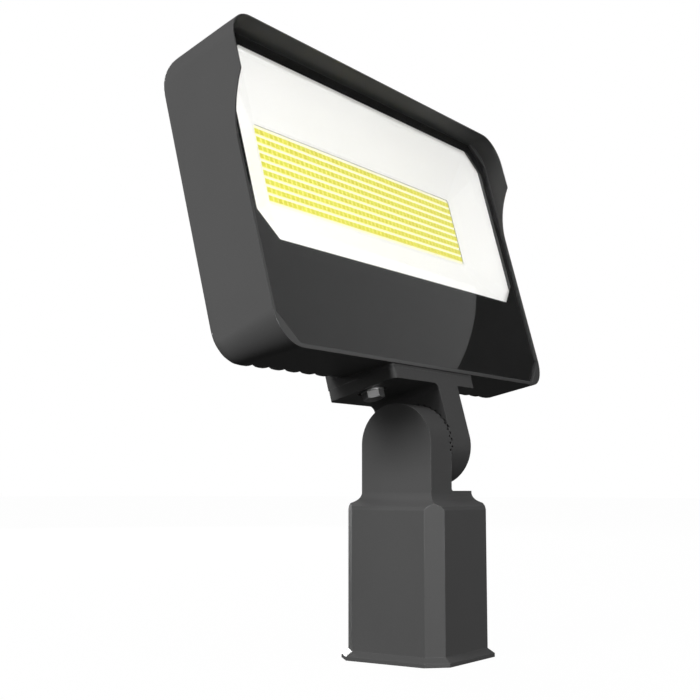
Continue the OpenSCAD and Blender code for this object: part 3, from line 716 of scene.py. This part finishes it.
def studio_floor():
    bpy.ops.mesh.primitive_plane_add(size=30, location=(0, 0, -0.0002))
    floor = bpy.context.object
    floor.name = "floor"
    pale = Finish("pale_floor")
    cloud = pale.noise(0.8, 3)
    pale.set(Base_Color=pale.blend(cloud, grey(0.86), grey(0.9)), Roughness=0.9)
    seen = pale.add("LightPath", out="Is Camera Ray")
    glow = pale.add("Emission", {}, {"Color": grey(1.0), "Strength": 1.0})
    shadowed = Signal(pale, pale.shader.outputs[0])
    glow_share = 0.985
    mixed = pale.add("MixShader", {}, {0: seen * glow_share, 1: shadowed, 2: glow})
    pale.plug(pale.tree.nodes["Material Output"].inputs["Surface"], mixed)
    floor.data.materials.append(pale.material)
    floor.visible_diffuse = False
    floor.visible_glossy = False


def card(name, centre, across, up, outline, tone):
    """Glowing or dark card that only reflections see."""
    work = bmesh.new()
    work.faces.new([work.verts.new(centre + across * u + up * v) for u, v in outline])
    thing = bpy.data.objects.new(name, mesh_from(work, name))
    bpy.context.scene.collection.objects.link(thing)
    paint = bpy.data.materials.new(name)
    sheet = Tree(paint)
    glow = sheet.add("Emission", {}, {"Color": grey(1.0), "Strength": tone})
    sheet.plug(sheet.tree.nodes["Material Output"].inputs["Surface"], glow)
    thing.data.materials.append(paint)
    thing.visible_camera = False
    thing.visible_diffuse = False
    thing.visible_shadow = False


def rectangle(left, right, low, high):
    return [(left, low), (right, low), (right, high), (left, high)]


def soft_box(name, place, size, power, mirrored=True):
    lamp = bpy.data.lights.new(name, "AREA")
    lamp.shape = "RECTANGLE"
    lamp.size, lamp.size_y = size
    lamp.energy = power
    thing = bpy.data.objects.new(name, lamp)
    bpy.context.scene.collection.objects.link(thing)
    thing.location = place
    thing.rotation_euler = (light_aim - Vector(place)).to_track_quat("-Z", "Y").to_euler()
    thing.visible_camera = False
    thing.visible_glossy = mirrored


def studio_world():
    world = bpy.data.worlds.new("studio")
    bpy.context.scene.world = world
    sky = Tree(world)
    rays = sky.add("LightPath", out="Is Camera Ray")
    path = rays.socket.node
    direct = 1 - (Signal(sky, path.outputs["Diffuse Depth"]) > 0.5)
    way = sky.add("TexCoord", out="Generated")
    height = sky.add("SeparateXYZ", {}, {0: way}, "Z")
    fade = 2.4
    low_glow = (1 - height * fade).clamped() * Signal(sky, path.outputs["Is Glossy Ray"])
    mirrored = direct * low_glow.largest(Signal(sky, path.outputs["Is Transmission Ray"]))
    bright = rays.largest(mirrored * (height > 0.0))
    below, above = grey(0.045), grey(0.09)
    dim = sky.add("Mix", {"data_type": "RGBA"}, {0: height > 0.0, 6: below, 7: above}, 2)
    tone = sky.add("Mix", {"data_type": "RGBA"}, {0: bright, 6: dim, 7: grey(1.0)}, 2)
    sky.plug(sky.tree.nodes["Background"].inputs["Color"], tone)


studio_floor()
card_distance = 2.5
mirror_turn, mirror_rise = math.radians(60), math.radians(24)
mirror_way = Vector((math.sin(mirror_turn) * math.cos(mirror_rise),
                     -math.cos(mirror_turn) * math.cos(mirror_rise),
                     math.sin(mirror_rise)))
mirror_right = Vector((math.cos(mirror_turn), math.sin(mirror_turn), 0))
mirror_up = mirror_right.cross(-mirror_way)
mirror_middle = Vector((0, 0, 0.28)) + mirror_way * card_distance
disc_middle, disc_radius = (0.032, 0.066), 0.43
disc = [(disc_middle[0] + disc_radius * math.cos(math.pi * k / 48),
         disc_middle[1] + disc_radius * math.sin(math.pi * k / 48)) for k in range(96)]
window_left = -0.015
window_foot, window_slope = 0.31, -0.883
round_box = [(u, v) for u, v in disc if u < window_left or v < window_foot + window_slope * u]
round_box.append((window_left, window_foot + window_slope * window_left))
card("round_box", mirror_middle, mirror_right, mirror_up, round_box, 0.295)
flag_gap = 0.02
card("dark_flag", mirror_middle + mirror_way * flag_gap, mirror_right, mirror_up,
     rectangle(-0.7, 1.2, -1.1, 1.4), 0.038)
edge_turn = math.radians(237)
edge_way = Vector((math.cos(edge_turn), math.sin(edge_turn), 0.06))
edge_right = Vector((-edge_way.y, edge_way.x, 0))
card("edge_box", Vector((0, 0, 0.15)) + edge_way * card_distance, edge_right, Vector((0, 0, 1)),
     rectangle(-0.3, 0.3, -0.4, 0.6), 8.0)
light_aim = Vector((0, 0, 0.2))
soft_box("side_box", (-2.5, 0.34, 1.06), (0.7, 0.68), 57, False)
soft_box("front_box", (-0.3, -2.3, 0.85), (1.2, 1.0), 20)
soft_box("top_box", (-0.7, -0.7, 2.3), (0.9, 0.9), 11)
soft_box("back_box", (1.5, 2.2, 0.9), (1.2, 1.0), 60)
studio_world()


# Camera: it stands low at the object's left front and looks up a little, as worked out from the
# outlines in the photograph.

camera = bpy.data.cameras.new("camera")
camera.lens = 60.76
camera.sensor_width = 36
eye = bpy.data.objects.new("camera", camera)
bpy.context.scene.collection.objects.link(eye)
eye.location = (-0.69976, -0.42867, 0.1127)
eye.rotation_euler = (math.radians(90 + 6.73), 0, math.radians(-55.279))
bpy.context.scene.camera = eye
bpy.context.scene.view_settings.view_transform = "Standard"
